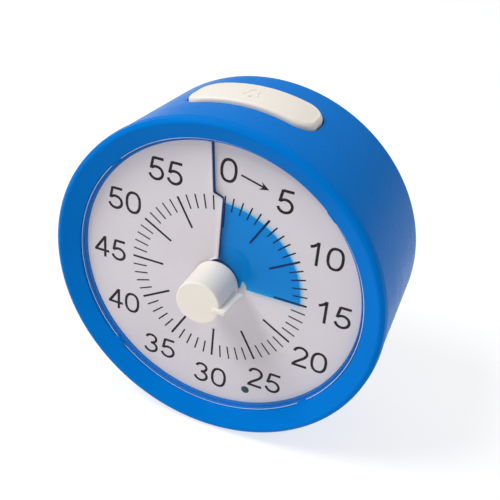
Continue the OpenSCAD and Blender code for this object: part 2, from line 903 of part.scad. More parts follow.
// A base disc and three cone rings, each smaller than the last
module contact_spring() {
    rings = 3;
    ring_h = 0.7;
    ring_step = 0.9;
    wire = 0.8;
    taper = 0.7;
    overlap = 0.05;
    color(steel) seat(cell_depth) translate([-bay_w / 2 + snug, bay_y, 0]) rotate([0, 90, 0]) {
        cylinder(h = 0.4, r = 5.2);
        for (i = [0:rings - 1]) {
            outer = 5 - i * ring_step;
            translate([0, 0, 0.35 + i * ring_h])
                difference() {
                    cylinder(h = ring_h + overlap, r1 = outer, r2 = outer - taper);
                    translate([0, 0, -0.01])
                        cylinder(h = ring_h + 0.1, r1 = outer - wire, r2 = outer - wire - taper);
                }
        }
    }
}

// ---- press bar ----

module press_bar() {
    plunger_l = 0.6;
    stem_end = -switch_top + plunger_l + bar_travel + 0.25;
    bar_under = 1;
    color(cream) {
        intersection() {
            translate([0, 0, axis_z + spring_seat]) linear_extrude(bezel_d / 4) bar_outline(0);
            seat() case_ring(bar_front - 1, bar_front + bar_l + 1, -bar_under, bar_proud);
        }
        for (s = [-1, 1]) {
            translate([s * spring_x, dial_y + bar_mid, axis_z + spring_top])
                cylinder(h = 2.6, r = spring_r + 0.6);
        }
        translate([-stem_w / 2, dial_y + stem_depth, axis_z + stem_end])
            cube([stem_w, stem_t, stem_top - stem_end]);
    }
}

// Each spring is a stack of plain rings
module bar_springs() {
    ring_pitch = (spring_top - spring_seat) / spring_turns;
    steps = 16;
    color(steel)
        for (s = [-1, 1]) {
            translate([s * spring_x, dial_y + bar_mid, axis_z + spring_seat])
                for (i = [0:spring_turns - 1]) {
                    translate([0, 0, ring_pitch * (i + 0.5)])
                        rotate_extrude()
                            translate([spring_r - spring_wire, 0]) circle(spring_wire, $fn = steps);
                }
        }
}

front_bezel();
body_shell();
rear_cover();
battery_door();
lens();
dial_sheet();
dial_carrier();
colour_disc();
disc_hub();
knob();
arbor();
clutch_spring();
centre_wheel();
second_wheel();
first_wheel();
rotor_pinion();
rotor_magnet();
stator();
coil();
movement_case();
movement_plate();
movement_screws();
circuit_board();
crystal();
timer_chip();
buzzer();
indicator_led();
press_bar();
bar_springs();
bar_switch();
volume_switch();
volume_slider();
battery();
contact_spring();
contact_plate();
magnets();
feet();
case_screws();
board_screws();
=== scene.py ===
"""Visual model of a round desk timer: case, slit dial with a coloured sector, knob and press bar."""
import json
import math

import bmesh
import bpy
from mathutils import Matrix, Vector


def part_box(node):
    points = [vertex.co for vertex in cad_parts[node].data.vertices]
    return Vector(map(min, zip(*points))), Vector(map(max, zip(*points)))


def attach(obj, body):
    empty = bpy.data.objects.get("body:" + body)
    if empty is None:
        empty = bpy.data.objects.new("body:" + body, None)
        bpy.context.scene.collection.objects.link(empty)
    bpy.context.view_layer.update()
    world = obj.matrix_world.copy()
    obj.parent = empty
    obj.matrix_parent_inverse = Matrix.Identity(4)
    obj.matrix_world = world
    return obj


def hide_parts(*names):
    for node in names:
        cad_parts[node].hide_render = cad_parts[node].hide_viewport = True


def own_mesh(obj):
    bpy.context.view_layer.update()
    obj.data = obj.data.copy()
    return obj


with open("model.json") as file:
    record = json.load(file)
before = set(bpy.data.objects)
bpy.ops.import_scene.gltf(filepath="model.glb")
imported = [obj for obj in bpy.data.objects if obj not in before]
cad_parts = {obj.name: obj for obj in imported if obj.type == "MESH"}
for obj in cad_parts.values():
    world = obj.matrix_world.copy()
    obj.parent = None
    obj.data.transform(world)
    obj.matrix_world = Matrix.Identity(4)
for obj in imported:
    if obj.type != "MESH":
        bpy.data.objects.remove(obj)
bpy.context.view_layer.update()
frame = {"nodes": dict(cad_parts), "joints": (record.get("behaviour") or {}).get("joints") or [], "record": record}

# ---------------------------------------------------------------- the frame's places, in millimetres

MM = 0.001
TAU = 2 * math.pi
JOINTS = {j["name"]: j for j in frame["joints"]}
AXIS_X, DIAL_Y, AXIS_Z = (v / MM for v in JOINTS["knob_turn"]["pos_m"])


def box_mm(node):
    low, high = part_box(node)
    return low / MM, high / MM


BEZEL_R = (box_mm("front_bezel")[1].x - box_mm("front_bezel")[0].x) / 2
CROWN = DIAL_Y - box_mm("front_bezel")[0].y  # height of the bezel's crown above the dial
BACK = box_mm("rear_cover")[1].y - DIAL_Y  # depth of the back behind the dial
DIAL_R = (box_mm("dial_sheet")[1].x - box_mm("dial_sheet")[0].x) / 2
DISC_R = (box_mm("colour_disc")[1].x - box_mm("colour_disc")[0].x) / 2
KNOB_TOP = DIAL_Y - box_mm("knob")[0].y
SET_ANGLE = math.radians(-JOINTS["knob_turn"]["range_deg"][0])

SEAM = -1.7  # depth of the seam between bezel and shell
SEAM_GAP = 0.2
SEAM_R = BEZEL_R - 0.2
BACK_R = BEZEL_R - 1.7  # the case's radius at its back
WALL = 1.8
COVER_R = BACK_R - WALL
LIP_R = 39.25  # inner radius of the bezel's lip
GAP = 0.3  # between the press bar and its opening


def shell_r(depth):
    """Radius of the case's tapered side at a depth behind the dial."""
    return SEAM_R + (BACK_R - SEAM_R) * (depth - SEAM) / (BACK - SEAM)


def spot(r, clock, depth):
    """A point from its radius, its clockwise angle from the top and its depth behind the dial."""
    return Vector((
        (AXIS_X + r * math.sin(clock)) * MM, (DIAL_Y + depth) * MM, (AXIS_Z + r * math.cos(clock)) * MM
    ))


def place(x, up, depth):
    """A point from its distances right of and above the axis and its depth behind the dial."""
    return Vector(((AXIS_X + x) * MM, (DIAL_Y + depth) * MM, (AXIS_Z + up) * MM))


# ---------------------------------------------------------------- materials

def new_material(name):
    mat = bpy.data.materials.new(name)
    mat.use_nodes = True
    nodes = mat.node_tree.nodes
    nodes.clear()
    out = nodes.new("ShaderNodeOutputMaterial")
    shader = nodes.new("ShaderNodeBsdfPrincipled")
    mat.node_tree.links.new(shader.outputs[0], out.inputs[0])
    return mat, mat.node_tree, shader


def noise(tree, scale, detail=3.0, stretch=(1, 1, 1)):
    """Noise in the piece's own coordinates, in cells per metre."""
    coords = tree.nodes.new("ShaderNodeTexCoord")
    mapping = tree.nodes.new("ShaderNodeMapping")
    mapping.inputs["Scale"].default_value = stretch
    tex = tree.nodes.new("ShaderNodeTexNoise")
    tex.inputs["Scale"].default_value = scale
    tex.inputs["Detail"].default_value = detail
    tex.inputs["Roughness"].default_value = 0.55
    tree.links.new(coords.outputs["Object"], mapping.inputs["Vector"])
    tree.links.new(mapping.outputs[0], tex.inputs["Vector"])
    return tex.outputs["Fac"]


def spread(tree, source, low, high, start=0.3, end=0.7):
    """Maps a noise's middle range to the range from low to high."""
    node = tree.nodes.new("ShaderNodeMapRange")
    node.inputs["From Min"].default_value = start
    node.inputs["From Max"].default_value = end
    node.inputs["To Min"].default_value = low
    node.inputs["To Max"].default_value = high
    tree.links.new(source, node.inputs["Value"])
    return node.outputs[0]


def shade_mix(tree, source, dark, light):
    node = tree.nodes.new("ShaderNodeMix")
    node.data_type = "RGBA"
    node.inputs["A"].default_value = (*dark, 1)
    node.inputs["B"].default_value = (*light, 1)
    tree.links.new(source, node.inputs["Factor"])
    return node.outputs["Result"]


def calc(tree, operation, a, b):
    """A Math node's result for two inputs, each a float or a socket."""
    node = tree.nodes.new("ShaderNodeMath")
    node.operation = operation
    for socket, value in zip(node.inputs, (a, b)):
        if isinstance(value, float):
            socket.default_value = value
        else:
            tree.links.new(value, socket)
    return node.outputs[0]


def bump(tree, shader, sources):
    """Chains bumps, each a height source with its strength and its depth in millimetres."""
    last = None
    for source, strength, depth in sources:
        node = tree.nodes.new("ShaderNodeBump")
        node.inputs["Strength"].default_value = strength
        node.inputs["Distance"].default_value = depth * MM
        tree.links.new(source, node.inputs["Height"])
        if last is not None:
            tree.links.new(last, node.inputs["Normal"])
        last = node.outputs[0]
    tree.links.new(last, shader.inputs["Normal"])


def varied(colour, amount):
    """Two shades either side of a colour."""
    return [c * (1 - amount) for c in colour], [min(1.0, c * (1 + amount)) for c in colour]


# Noises of a moulded skin, in cells per metre
FLOW_MARKS, GLOSS_MARKS, WAVES, SKIN_GRAIN = 60, 220, 90, 2600
WAVE_DEPTH = 0.05


def moulded(name, colour, rough=0.35, vary=0.03, grain=0.01, specular=0.5):
    """Moulded plastic: faint flow marks in its shade, a fine skin grain and uneven gloss."""
    mat, tree, shader = new_material(name)
    dark, light = varied(colour, vary)
    flow = spread(tree, noise(tree, FLOW_MARKS), 0, 1)
    gloss = spread(tree, noise(tree, GLOSS_MARKS, 5), rough - 0.04, rough + 0.05)
    tree.links.new(shade_mix(tree, flow, dark, light), shader.inputs["Base Color"])
    tree.links.new(gloss, shader.inputs["Roughness"])
    shader.inputs["Specular IOR Level"].default_value = specular
    bump(tree, shader, [
        (noise(tree, SKIN_GRAIN, 2), 0.5, grain),
        (noise(tree, WAVES, 1), 0.25, WAVE_DEPTH),
    ])
    return mat


def metal(name, colour, rough=0.3, stretch=(1, 1, 1), scale=900):
    """Plain or drawn metal with fine marks along one direction."""
    mat, tree, shader = new_material(name)
    dark, light = varied(colour, 0.06)
    marks = noise(tree, scale, 4, stretch)
    tree.links.new(shade_mix(tree, spread(tree, marks, 0, 1), dark, light), shader.inputs["Base Color"])
    tree.links.new(spread(tree, marks, rough - 0.08, rough + 0.1), shader.inputs["Roughness"])
    shader.inputs["Metallic"].default_value = 1.0
    bump(tree, shader, [(marks, 0.35, 0.01)])
    return mat


def let_through(tree, shader, tint=(1, 1, 1, 1)):
    """Mixes a clear surface into the output, and returns the mix's socket for the shader's own share."""
    clear = tree.nodes.new("ShaderNodeBsdfTransparent")
    clear.inputs[0].default_value = tint
    mix = tree.nodes.new("ShaderNodeMixShader")
    out = next(n for n in tree.nodes if n.type == "OUTPUT_MATERIAL")
    tree.links.new(clear.outputs[0], mix.inputs[1])
    tree.links.new(shader.outputs[0], mix.inputs[2])
    tree.links.new(mix.outputs[0], out.inputs[0])
    return mix.inputs[0]


FILM_COLOUR = (0.0, 0.23, 0.95)
FILM_TINT = (0.01, 0.79, 1.0, 1)  # light that each face of the film lets through
FILM_SHARE = 0.06  # share of its own colour in what it shows
LENS_IOR = 1.25


def film_material():
    """Coloured film that filters what lies under it and also shows its own colour."""
    mat, tree, shader = new_material("blue_film")
    dark, light = varied(FILM_COLOUR, 0.04)
    shade = shade_mix(tree, spread(tree, noise(tree, 150), 0, 1), dark, light)
    tree.links.new(shade, shader.inputs["Base Color"])
    tree.links.new(spread(tree, noise(tree, 400, 4), 0.38, 0.48), shader.inputs["Roughness"])
    shader.inputs["Specular IOR Level"].default_value = 0.15
    bump(tree, shader, [(noise(tree, 1500, 2), 0.3, 0.005)])
    let_through(tree, shader, FILM_TINT).default_value = FILM_SHARE
    return mat


def lens_material():
    """Clear moulded sheet: light goes straight through, apart from what its outer faces reflect."""
    mat, tree, shader = new_material("clear_lens")
    shader.inputs["Base Color"].default_value = (0.95, 0.97, 1.0, 1)
    shader.inputs["Metallic"].default_value = 1.0
    tree.links.new(spread(tree, noise(tree, 120, 3), 0.04, 0.09), shader.inputs["Roughness"])
    bump(tree, shader, [(noise(tree, 25, 1), 0.1, 0.02)])
    mirror = tree.nodes.new("ShaderNodeFresnel")
    mirror.inputs["IOR"].default_value = LENS_IOR
    geometry = tree.nodes.new("ShaderNodeNewGeometry")
    outside = calc(tree, "SUBTRACT", 1.0, geometry.outputs["Backfacing"])
    share = calc(tree, "MULTIPLY", mirror.outputs[0], outside)
    tree.links.new(share, let_through(tree, shader))
    return mat


BLUE = moulded("blue_plastic", (0.0, 0.166, 0.575), rough=0.3, grain=0.004, specular=0.02)
CREAM = moulded("cream_plastic", (0.82, 0.765, 0.685), rough=0.4, vary=0.015, specular=0.3)
PAPER = moulded("dial_print", (0.69, 0.645, 0.685), rough=0.62, vary=0.012, grain=0.006, specular=0.2)
INK = moulded("black_ink", (0.012, 0.009, 0.012), rough=0.5, vary=0.2, grain=0.004, specular=0.08)
FILM = film_material()
LENS = lens_material()
# Pale opaque plastic that paints the bright highlight along the clear lens's rim
LENS_EDGE_HIGHLIGHT = moulded("lens_edge_highlight", (0.55, 0.70, 0.92), rough=0.3, vary=0.1, grain=0.01)
LAMP = moulded("lamp_window", (0.008, 0.05, 0.066), rough=0.22, grain=0.002, specular=0.2)
RUBBER = moulded("foot_rubber", (0.022, 0.023, 0.026), rough=0.75, vary=0.15, grain=0.03)
BLACK = moulded("black_plastic", (0.02, 0.02, 0.022), rough=0.45, vary=0.1, grain=0.012)
GREY = moulded("grey_plastic", (0.3, 0.31, 0.33), rough=0.5, grain=0.012)
WHITE = moulded("white_acetal", (0.82, 0.81, 0.77), rough=0.35, grain=0.004)
BOARD = moulded("board_green", (0.015, 0.15, 0.06), rough=0.3, vary=0.12, grain=0.008)
WRAP = moulded("cell_wrap", (0.04, 0.042, 0.05), rough=0.22, vary=0.1, grain=0.003)
STEEL = metal("steel", (0.6, 0.6, 0.62), stretch=(1, 1, 8))
NICKEL = metal("magnet_plating", (0.62, 0.61, 0.59), scale=500)
BRASS = metal("brass", (0.74, 0.54, 0.25), rough=0.28, stretch=(1, 12, 1))
FERRITE = moulded("ferrite", (0.06, 0.06, 0.065), rough=0.6, vary=0.2, grain=0.03)
COPPER = metal("copper_winding", (0.62, 0.2, 0.07), rough=0.32, stretch=(60, 1, 1), scale=400)

SLOT_MATERIALS = {
    "blue_case": BLUE, "cream_plastic": CREAM, "clear_lens": LENS, "dial_print": PAPER,
    "blue_film": FILM, "steel": STEEL, "magnet_plating": NICKEL, "brass": BRASS,
    "white_acetal": WHITE, "ferrite": FERRITE, "copper_winding": COPPER, "grey_plastic": GREY,
    "board_green": BOARD, "black_plastic": BLACK, "lamp_window": LAMP, "cell_wrap": WRAP,
    "foot_rubber": RUBBER,
}

# ---------------------------------------------------------------- mesh helpers

SMOOTH_LIMIT = math.radians(38)
MERGE_DIST = 1e-7  # metres
FLAT_WEIGHT = 80  # how much large faces steer the normals beside them
RIM_STEPS = 3  # steps of a prism's rounded rim


def piece(name, part, material, body, replaces=(), weighted=True):
    """A mesh piece that rides on a body, from points in metres in the CAD's frame and faces."""
    points, faces = part
    mesh = bpy.data.meshes.new(name)
    mesh.from_pydata([tuple(p) for p in points], [], faces)
    bm = bmesh.new()
    bm.from_mesh(mesh)
    bmesh.ops.remove_doubles(bm, verts=bm.verts, dist=MERGE_DIST)
    bmesh.ops.recalc_face_normals(bm, faces=bm.faces)
    bm.to_mesh(mesh)
    bm.free()
    mesh.polygons.foreach_set("use_smooth", [True] * len(mesh.polygons))
    mesh.set_sharp_from_angle(angle=SMOOTH_LIMIT)
    mesh.materials.append(material)
    obj = bpy.data.objects.new(name, mesh)
    bpy.context.scene.collection.objects.link(obj)
    if weighted:
        normals = obj.modifiers.new("normals", "WEIGHTED_NORMAL")
        normals.keep_sharp = True
        normals.weight = FLAT_WEIGHT
    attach(obj, body)
    if replaces:
        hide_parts(*replaces)
    return obj


def rounded(corners, steps):
    """A closed outline with each corner (x, y, radius) turned into an arc of that many steps."""
    out = []
    n = len(corners)
    for i, (x, y, radius) in enumerate(corners):
        if radius <= 0:
            out.append((x, y))
            continue
        here = Vector((x, y))
        before = Vector(corners[i - 1][:2]) - here
        after = Vector(corners[(i + 1) % n][:2]) - here
        a, b = before.normalized(), after.normalized()
        half = math.acos(max(-1.0, min(1.0, a.dot(b)))) / 2
        back = min(radius / math.tan(half), 0.49 * before.length, 0.49 * after.length)
        r = back * math.tan(half)
        centre = here + (a + b).normalized() * (r / math.sin(half))
        start, end = here + a * back - centre, here + b * back - centre
        turn = math.atan2(start.x * end.y - start.y * end.x, start.dot(end))
        for k in range(steps + 1):
            t = turn * k / steps
            out.append((
                centre.x + start.x * math.cos(t) - start.y * math.sin(t),
                centre.y + start.x * math.sin(t) + start.y * math.cos(t),
            ))
    return out


def tube_faces(rows, columns, closed_rows=True):
    """Quads of a grid whose point (row, column) has the number row * columns + column."""
    faces = []
    for i in range(rows if closed_rows else rows - 1):
        for j in range(columns):
            i2, j2 = (i + 1) % rows, (j + 1) % columns
            faces.append((i * columns + j, i * columns + j2, i2 * columns + j2, i2 * columns + j))
    return faces


def capped_faces(rows, columns):
    """Quads of a grid that is a tube, and a face over each of its ends."""
    faces = tube_faces(rows, columns, closed_rows=False)
    faces.append(tuple(range(columns)))
    faces.append(tuple(range((rows - 1) * columns, rows * columns)))
    return faces


def lathe(outline, segments=240):
    """Points and quads of a closed outline of (radius, depth) turned round the case's axis."""
    points = [spot(r, TAU * j / segments, d) for r, d in outline for j in range(segments)]
    return points, tube_faces(len(outline), segments)


def prism(outline, low, high, at, edge):
    """Points and faces of a flat outline raised from low to high, with both rims rounded by edge.
    at(x, y, level) places a point."""
    n = len(outline)
    middle = Vector((sum(x for x, y in outline) / n, sum(y for x, y in outline) / n))
    outward = []
    for i, corner in enumerate(outline):
        along = (Vector(outline[(i + 1) % n]) - Vector(outline[i - 1])).normalized()
        out = Vector((along.y, -along.x))
        if out.dot(Vector(corner) - middle) < 0:
            out = -out
        outward.append(out)
    rim = []
    for k in range(RIM_STEPS + 1):
        t = math.pi / 2 * k / RIM_STEPS
        rim.append((edge * (1 - math.sin(t)), edge * (1 - math.cos(t))))
    levels = [(inset, low + drop) for inset, drop in rim]
    levels += [(inset, high - drop) for inset, drop in rim[::-1]]
    points = []
    for inset, level in levels:
        points += [at(x - out.x * inset, y - out.y * inset, level) for (x, y), out in zip(outline, outward)]
    return points, capped_faces(len(levels), n)


def joined(parts):
    """Several (points, faces) as one."""
    points, faces = [], []
    for more_points, more_faces in parts:
        base = len(points)
        points += more_points
        faces += [tuple(base + v for v in f) for f in more_faces]
    return points, faces


def circle_outline(cx, cy, r, n):
    return [(cx + r * math.cos(TAU * i / n), cy + r * math.sin(TAU * i / n)) for i in range(n)]


# ---------------------------------------------------------------- bezel and lens

LENS_FRONT, LENS_BACK = -1.6, -0.95  # depths of the lens's faces
LENS_HOLE_R, LENS_R = 6.5, 38.8
TAB_CLOCKS = (45, 136, 223.5, 313)  # where tabs of the lip reach over the lens, in degrees
TAB_HALF = math.radians(2.9)
TAB_COLUMNS = 13
FINE = 0.03  # radius of a corner that is only just broken


def bezel_outline():
    """The bezel's section as (radius, depth), from the dial's edge out over the crown to the skirt."""
    inner_r = DIAL_R + 0.22
    seam = SEAM - SEAM_GAP
    skirt_r = SEAM_R - WALL - 0.25
    skirt_in, skirt_end = skirt_r - 1.1, 1.6
    cone = [(inner_r, -0.2, FINE), (inner_r, -0.58, 0.05), (38.4, -0.78, FINE)]
    groove = [(38.45, -0.4, FINE), (38.72, -0.4, FINE)]
    seat = [(38.78, -1.3, FINE), (39.05, -1.4, FINE), (39.1, -0.9, FINE)]
    lip = [(LIP_R, -0.9, FINE), (LIP_R, -2.3, 0.12)]
    crown = [(BEZEL_R - 1.3, -CROWN - 0.02, 0.8), (BEZEL_R - 0.22, -CROWN + 0.75, 0.6)]
    side = [(BEZEL_R, SEAM - 0.9, 0.9), (BEZEL_R - 0.02, seam, 0.16)]
    skirt = [(skirt_r, seam, 0.0), (skirt_r, skirt_end, 0.1), (skirt_in, skirt_end, 0.1),
             (skirt_in, -2.2, 0.2), (LIP_R + 0.9, -0.1, 0.1)]
    return rounded(cone + groove + seat + lip + crown + side + skirt, 7)


def tab_part(clock):
    """A tab that reaches in from the lip over the lens, and draws back at both its ends."""
    root, tip, under = LIP_R + 0.15, LIP_R - 0.5, LENS_FRONT - 0.05
    section = rounded([(root, -2.26, 0.0), (tip, -2.2, 0.14), (tip, under, 0.08), (root, under, 0.0)], 3)
    points = []
    for c in range(TAB_COLUMNS):
        across = 2 * c / (TAB_COLUMNS - 1) - 1
        reach = 0.35 + 0.65 * (1 - abs(across) ** 6)
        angle = math.radians(clock) + TAB_HALF * across
        points += [spot(root + (r - root) * reach, angle, d) for r, d in section]
    return points, capped_faces(TAB_COLUMNS, len(section))


def make_bezel():
    parts = [lathe(bezel_outline(), 300)] + [tab_part(clock) for clock in TAB_CLOCKS]
    piece("bezel", joined(parts), BLUE, "case", ["front_bezel"])


def make_lens():
    outline = rounded([
        (LENS_HOLE_R, LENS_BACK, 0.06), (LENS_R - 0.8, LENS_BACK, 0.06), (LENS_R, LENS_FRONT + 0.2, 0.05),
        (LENS_R, LENS_FRONT, FINE), (LENS_HOLE_R, LENS_FRONT, 0.12)], 4)
    piece("lens_disc", lathe(outline), LENS, "case", ["lens"])
    # A thin pale ring round the lens rim: its colour is the rim's painted highlight
    edge_front, edge_back, edge_r = LENS_FRONT - 0.03, LENS_FRONT + 0.08, LENS_R + 0.27
    edge = rounded([
        (LENS_R + 0.02, edge_front, FINE), (edge_r, edge_front, FINE),
        (edge_r, edge_back, FINE), (LENS_R + 0.12, edge_back, FINE)], 3)
    piece("lens_edge_highlight", lathe(edge), LENS_EDGE_HIGHLIGHT, "case")


# ---------------------------------------------------------------- case with the opening for the press bar

BAR_LOW, BAR_HIGH = box_mm("press_bar")
BAR_W, BAR_L, BAR_CORNER = BAR_HIGH.x - BAR_LOW.x, BAR_HIGH.y - BAR_LOW.y, 5.0
BAR_FRONT = BAR_LOW.y - DIAL_Y
BAR_MID = BAR_FRONT + BAR_L / 2
ARC_STEPS = 6  # half of a corner's arc
LONG_STEPS, SHORT_STEPS = 28, 8
PATCH_COLUMNS = LONG_STEPS + 2 * ARC_STEPS  # the patch is the part of the shell's grid that is
PATCH_ROWS = SHORT_STEPS + 2 * ARC_STEPS  # left out round the opening
PATCH_HALF = math.radians(32)
PATCH_MARGIN = 5
FILLET, FILLET_STEPS = 0.45, 5  # the opening's rounded rim
BLENDS = (0.12, 0.27, 0.43, 0.6, 0.75, 0.87, 0.95, 1.0)  # places of the loops from patch border to rim


def over_shell(x, d, lift, drop=0.0):
    """A point right of the axis at a depth, lifted off the case's side along its radius, then dropped."""
    return place(x, math.sqrt((shell_r(d) + lift) ** 2 - x * x) - drop, d)


def bar_outline(grow):
    """The press bar's outline seen from above, as (x, depth), from the front left corner's middle."""
    w, l, r = BAR_W / 2 + grow, BAR_L / 2 + grow, BAR_CORNER + grow
    out = []
    corners = [(w - r, -(l - r), -90), (w - r, l - r, 0), (-(w - r), l - r, 90), (-(w - r), -(l - r), 180)]
    straights = [LONG_STEPS, SHORT_STEPS, LONG_STEPS, SHORT_STEPS]
    for side in range(4):
        cx, cy, start = corners[side - 1]
        nx, ny, nstart = corners[side]
        for k in range(ARC_STEPS):
            t = math.radians(start + 45 + 45 * k / ARC_STEPS)
            out.append((cx + r * math.cos(t), cy + r * math.sin(t)))
        t = math.radians(start + 90)
        a = Vector((cx + r * math.cos(t), cy + r * math.sin(t)))
        t = math.radians(nstart)
        b = Vector((nx + r * math.cos(t), ny + r * math.sin(t)))
        for k in range(straights[side]):
            out.append(tuple(a.lerp(b, k / straights[side])))
        for k in range(ARC_STEPS):
            t = math.radians(nstart + 45 * k / ARC_STEPS)
            out.append((nx + r * math.cos(t), ny + r * math.sin(t)))
    return [(x, y + BAR_MID) for x, y in out]


def shell_clocks():
    """Angles of the shell's columns: even over the patch, then the rest of the way round."""
    step = 2 * PATCH_HALF / PATCH_COLUMNS
    more = round(TAU / step) - PATCH_COLUMNS
    rest = TAU - 2 * PATCH_HALF
    clocks = [-PATCH_HALF + step * c for c in range(PATCH_COLUMNS + 1)]
    return clocks + [PATCH_HALF + rest * (c + 1) / more for c in range(more - 1)]


def shell_profile():
    """The shell's section as rows of (radius, depth), and the patch's first outer and first inner row."""
    neck, front_end, step_in = 0.5, 2, COVER_R - 1.6
    first, length = BAR_FRONT - PATCH_MARGIN, BAR_L + 2 * PATCH_MARGIN
    depths = [first + length * k / PATCH_ROWS for k in range(PATCH_ROWS + 1)]
    front = rounded([
        (SEAM_R - WALL, SEAM, 0.1), (SEAM_R, SEAM, 0.25),
        (shell_r(front_end), front_end, 0), (SEAM_R - WALL, front_end, 0)], 4)
    front = [p for p in front if p[1] < front_end]
    rear = rounded([
        (shell_r(BACK - 4), BACK - 4, 0), (BACK_R, BACK, 1.2), (COVER_R + 0.05, BACK, 0.15),
        (COVER_R + 0.05, BACK - 2, 0), (step_in, BACK - 2, 0), (step_in, BACK - 3.6, 0),
        (shell_r(BACK - 5.6) - WALL, BACK - 5.6, 0)], 8)
    outer = [(shell_r(d), d) for d in depths]
    inner = [(shell_r(d) - WALL, d) for d in depths[::-1]]
    outer_at = len(front) + 1
    inner_at = outer_at + len(outer) + len(rear)
    profile = front + [(shell_r(neck), neck)] + outer + rear + inner + [(shell_r(neck) - WALL, neck)]
    return profile, outer_at, inner_at


def patch_border(first, columns, backward=False):
    """Point numbers round the patch, from its front left corner. Its rows run forward if backward."""
    rows = [(first + k) * columns for k in range(PATCH_ROWS + 1)]
    if backward:
        rows.reverse()
    loop = [rows[0] + c for c in range(PATCH_COLUMNS)]
    loop += [row + PATCH_COLUMNS for row in rows[:-1]]
    loop += [rows[-1] + c for c in range(PATCH_COLUMNS, 0, -1)]
    return loop + rows[:0:-1]


def on_side(outline, inset):
    """An outline of (x, depth) as (clock, depth) on the shell's outer side or at an inset from it."""
    return [(math.asin(x / (shell_r(d) - inset)), d) for x, d in outline]


def blend_loop(border, rim, share, inset):
    """A loop on the shell, a share of the way from the patch's border to the opening's rim."""
    loop = []
    for (clock, d), (rim_clock, rim_d) in zip(border, rim):
        here = d + (rim_d - d) * share
        loop.append(spot(shell_r(here) - inset, clock + (rim_clock - clock) * share, here))
    return loop


def opening_loops(border):
    """Loops from the patch's outer border over the opening's rounded rim and through the wall."""
    rim = on_side(bar_outline(GAP + FILLET), 0)
    loops = [blend_loop(border, rim, share, 0) for share in BLENDS]
    for k in range(1, FILLET_STEPS + 1):
        t = math.pi / 2 * k / FILLET_STEPS
        outline = bar_outline(GAP + FILLET * (1 - math.sin(t)))
        loops.append([over_shell(x, d, 0, FILLET * (1 - math.cos(t))) for x, d in outline])
    hole = bar_outline(GAP)
    loops.append([over_shell(x, d, -WALL) for x, d in hole])
    loops.append(blend_loop(border, on_side(hole, WALL), 0.5, WALL))
    return loops


def make_shell():
    clocks = shell_clocks()
    columns = len(clocks)
    profile, outer_at, inner_at = shell_profile()
    points = [spot(r, clock, d) for r, d in profile for clock in clocks]

    def in_patch(number):
        row, column = divmod(number, columns)
        return column < PATCH_COLUMNS and any(at <= row < at + PATCH_ROWS for at in (outer_at, inner_at))

    faces = [f for f in tube_faces(len(profile), columns) if not in_patch(f[0])]
    numbers = [patch_border(outer_at, columns)]
    border = [(clocks[number % columns], profile[number // columns][1]) for number in numbers[0]]
    for loop in opening_loops(border):
        numbers.append(list(range(len(points), len(points) + len(loop))))
        points += loop
    numbers.append(patch_border(inner_at, columns, backward=True))
    for a, b in zip(numbers, numbers[1:]):
        for i in range(len(a)):
            j = (i + 1) % len(a)
            faces.append((a[i], a[j], b[j], b[i]))
    piece("case_shell", (points, faces), BLUE, "case", ["body_shell"])


# ---------------------------------------------------------------- press bar, its springs and its bell

BAR_PROUD = 1.15  # how far the bar stands off the case's side
BAR_EDGE, BAR_EDGE_STEPS = 1.0, 6  # its rounded rim
BAR_UNDER = -1.0  # its under side, off the case's side
BAR_CHAMFER = 0.4
BAR_CROWN = 0.12  # how much its middle line stands above its rim
BAR_FILLS = (0.08, 0.2, 0.35, 0.5, 0.65, 0.8, 0.92, 1.0)  # places of the loops from rim to middle line
STEM_HALF, STEM_FRONT, STEM_BACK = 3, 15.4, 18.6
BOSS_X, BOSS_R = 9, 2.3


def drawn_in(outline, spine, share, lift):
    """A loop over the case's side, from an outline drawn in by a share towards the bar's middle line."""
    loop = []
    for (x, d), (spine_x, spine_d) in zip(outline, spine):
        loop.append(over_shell(x + (spine_x - x) * share, d + (spine_d - d) * share, lift))
    return loop


def bar_cap_part():
    """The curved bar itself: under side, wall, rounded rim and slightly crowned top."""
    foot, rim = bar_outline(-BAR_CHAMFER), bar_outline(-BAR_EDGE)
    reach = (BAR_W - BAR_L) / 2
    spine = [(max(-reach, min(reach, x)), BAR_MID) for x, d in rim]
    loops = [drawn_in(foot, spine, share, BAR_UNDER) for share in (1.0, 0.5, 0.0)]
    loops.append([over_shell(x, d, BAR_UNDER + BAR_CHAMFER) for x, d in bar_outline(0)])
    for k in range(BAR_EDGE_STEPS):
        t = math.pi / 2 * k / BAR_EDGE_STEPS
        outline = bar_outline(-BAR_EDGE * (1 - math.cos(t)))
        loops.append([over_shell(x, d, BAR_PROUD - BAR_EDGE * (1 - math.sin(t))) for x, d in outline])
    for share in (0.0, *BAR_FILLS):
        loops.append(drawn_in(rim, spine, share, BAR_PROUD - BAR_CROWN * (1 - share) ** 2))
    points = [p for loop in loops for p in loop]
    return points, tube_faces(len(loops), len(rim), closed_rows=False)


def upright(x, d, up):
    return place(x, up, d)


def make_press_bar():
    """The bar, with a stem that reaches its switch and a boss over each spring."""
    stem = rounded([(-STEM_HALF, STEM_FRONT, 0.3), (STEM_HALF, STEM_FRONT, 0.3),
                    (STEM_HALF, STEM_BACK, 0.3), (-STEM_HALF, STEM_BACK, 0.3)], 3)
    parts = [bar_cap_part(), prism(stem, BAR_LOW.z - AXIS_Z, BEZEL_R - 1.6, upright, 0.2)]
    boss_low = box_mm("bar_springs")[1].z - AXIS_Z + 0.04
    for side in (-1, 1):
        boss = circle_outline(BOSS_X * side, BAR_MID, BOSS_R, 32)
        parts.append(prism(boss, boss_low, BEZEL_R - 2.4, upright, 0.15))
    piece("bar_cap", joined(parts), CREAM, "press_bar", ["press_bar"])


